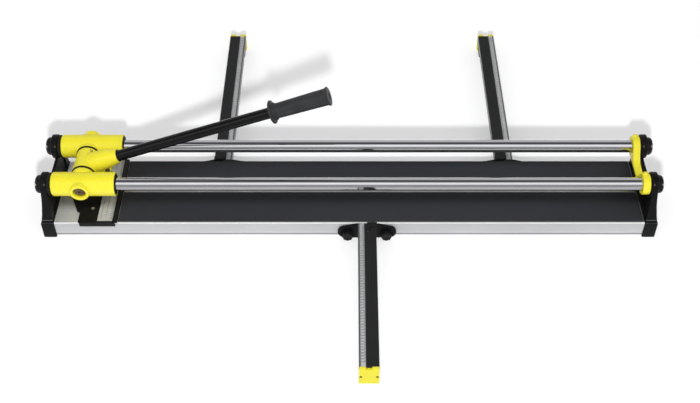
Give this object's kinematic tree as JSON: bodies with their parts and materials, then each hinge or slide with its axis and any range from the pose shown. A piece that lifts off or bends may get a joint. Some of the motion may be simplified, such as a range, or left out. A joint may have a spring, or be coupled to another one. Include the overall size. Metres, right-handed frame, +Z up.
{
  "type": "tile cutter",
  "caption": "Long manual tile cutter: padded base, twin chrome rails, sliding carriage with scoring wheel lever, and extendable side arms.",
  "frame": {"origin": "middle of the base in plan, on the surface that it stands on: the underside of the middle rubber foot", "axes": "+X along the rails, from the fence to the stop plate; +Y to the rear, away from the user; +Z up"},
  "size_m": [1.907, 1.5148, 0.4798],
  "materials": {
    "yellow_paint": "smooth satin yellow enamel",
    "black_casting": "fine textured black",
    "aluminium": "satin anodised extrusion with fine lengthwise lines",
    "grey_aluminium": "dull grey anodised extrusion",
    "ruler_silver": "satin anodised scale with dark marks",
    "chrome": "polished hard chrome",
    "pad_rubber": "matte charcoal rubber with a fine pebble grain",
    "black_rubber": "matte black rubber",
    "black_tube": "semi-gloss black powder coat",
    "zinc_steel": "zinc plated",
    "dark_steel": "blackened",
    "bronze": "plain bearing bronze",
    "carbide": "ground tungsten carbide"
  },
  "bodies": {
    "base": {"base_profile": "aluminium", "pad_front": "pad_rubber", "pad_rear": "pad_rubber", "breaker_bar": "zinc_steel", "end_bracket_left": "black_casting", "end_bracket_right": "black_casting", "front_rail": "chrome", "rear_rail": "chrome", "stop_plate": "yellow_paint", "fence_body": "black_casting", "fence_ruler": "ruler_silver", "middle_foot": "black_rubber", "front_rail_cap_left": "black_rubber", "front_rail_cap_right": "black_rubber", "rear_rail_cap_left": "black_rubber", "rear_rail_cap_right": "black_rubber"},
    "carriage": {"housing_front": "yellow_paint", "housing_rear": "yellow_paint", "bush_front": "bronze", "bush_rear": "bronze", "wiper_seal_front": "black_rubber", "wiper_seal_rear": "black_rubber", "pivot_axle": "zinc_steel"},
    "lever": {"lever_head": "yellow_paint", "lever_tube": "black_tube", "handle_grip": "black_rubber", "wheel_holder": "zinc_steel", "wheel_axle": "dark_steel", "breaker_pin": "zinc_steel", "return_spring": "zinc_steel"},
    "scoring_wheel": {"scoring_wheel": "carbide"},
    "breaker": {"breaker_foot": "yellow_paint", "breaker_pad": "black_rubber"},
    "front_arm": {"front_arm_profile": "grey_aluminium", "front_arm_ruler": "ruler_silver", "front_arm_strip": "black_rubber", "front_arm_end_cap": "yellow_paint", "front_arm_foot": "black_casting", "front_arm_clamp": "black_casting", "front_arm_slot_bar": "zinc_steel"},
    "front_arm_knob_a": {"front_arm_knob_a": "black_casting"},
    "front_arm_knob_b": {"front_arm_knob_b": "black_casting"},
    "rear_left_arm": {"rear_left_arm_profile": "grey_aluminium", "rear_left_arm_ruler": "ruler_silver", "rear_left_arm_strip": "black_rubber", "rear_left_arm_end_cap": "yellow_paint", "rear_left_arm_foot": "black_casting", "rear_left_arm_clamp": "black_casting", "rear_left_arm_slot_bar": "zinc_steel"},
    "rear_left_arm_knob_a": {"rear_left_arm_knob_a": "black_casting"},
    "rear_left_arm_knob_b": {"rear_left_arm_knob_b": "black_casting"},
    "rear_right_arm": {"rear_right_arm_profile": "grey_aluminium", "rear_right_arm_ruler": "ruler_silver", "rear_right_arm_strip": "black_rubber", "rear_right_arm_end_cap": "yellow_paint", "rear_right_arm_foot": "black_casting", "rear_right_arm_clamp": "black_casting", "rear_right_arm_slot_bar": "zinc_steel"},
    "rear_right_arm_knob_a": {"rear_right_arm_knob_a": "black_casting"},
    "rear_right_arm_knob_b": {"rear_right_arm_knob_b": "black_casting"}
  },
  "joints": [
    {"name": "carriage_slide", "type": "slide", "parent": "base", "child": "carriage", "axis": [1, 0, 0], "range_m": [0, 1.598]},
    {"name": "lever_pivot", "type": "hinge", "parent": "carriage", "child": "lever", "pos_m": [-0.816, 0, 0.1776], "axis": [0, 1, 0], "range_deg": [-35, 12]},
    {"name": "wheel_spin", "type": "hinge", "parent": "lever", "child": "scoring_wheel", "pos_m": [-0.849, 0, 0.09], "axis": [0, 1, 0], "continuous": true},
    {"name": "breaker_tilt", "type": "hinge", "parent": "lever", "child": "breaker", "pos_m": [-0.774, 0, 0.1316], "axis": [0, 1, 0], "range_deg": [-15, 15]},
    {"name": "front_arm_slide", "type": "slide", "parent": "base", "child": "front_arm", "axis": [1, 0, 0], "range_m": [-0.6, 0.6]},
    {"name": "front_arm_knob_a_turn", "type": "hinge", "parent": "front_arm", "child": "front_arm_knob_a", "pos_m": [-0.0054, -0.1483, 0.024], "axis": [0, 1, 0], "continuous": true},
    {"name": "front_arm_knob_b_turn", "type": "hinge", "parent": "front_arm", "child": "front_arm_knob_b", "pos_m": [0.1146, -0.1483, 0.024], "axis": [0, 1, 0], "continuous": true},
    {"name": "rear_left_arm_slide", "type": "slide", "parent": "base", "child": "rear_left_arm", "axis": [1, 0, 0], "range_m": [-0.2, 0.3]},
    {"name": "rear_left_arm_knob_a_turn", "type": "hinge", "parent": "rear_left_arm", "child": "rear_left_arm_knob_a", "pos_m": [-0.4727, 0.1483, 0.024], "axis": [0, 1, 0], "continuous": true},
    {"name": "rear_left_arm_knob_b_turn", "type": "hinge", "parent": "rear_left_arm", "child": "rear_left_arm_knob_b", "pos_m": [-0.3527, 0.1483, 0.024], "axis": [0, 1, 0], "continuous": true},
    {"name": "rear_right_arm_slide", "type": "slide", "parent": "base", "child": "rear_right_arm", "axis": [1, 0, 0], "range_m": [-0.3, 0.28]},
    {"name": "rear_right_arm_knob_a_turn", "type": "hinge", "parent": "rear_right_arm", "child": "rear_right_arm_knob_a", "pos_m": [0.4453, 0.1483, 0.024], "axis": [0, 1, 0], "continuous": true},
    {"name": "rear_right_arm_knob_b_turn", "type": "hinge", "parent": "rear_right_arm", "child": "rear_right_arm_knob_b", "pos_m": [0.5653, 0.1483, 0.024], "axis": [0, 1, 0], "continuous": true}
  ]
}
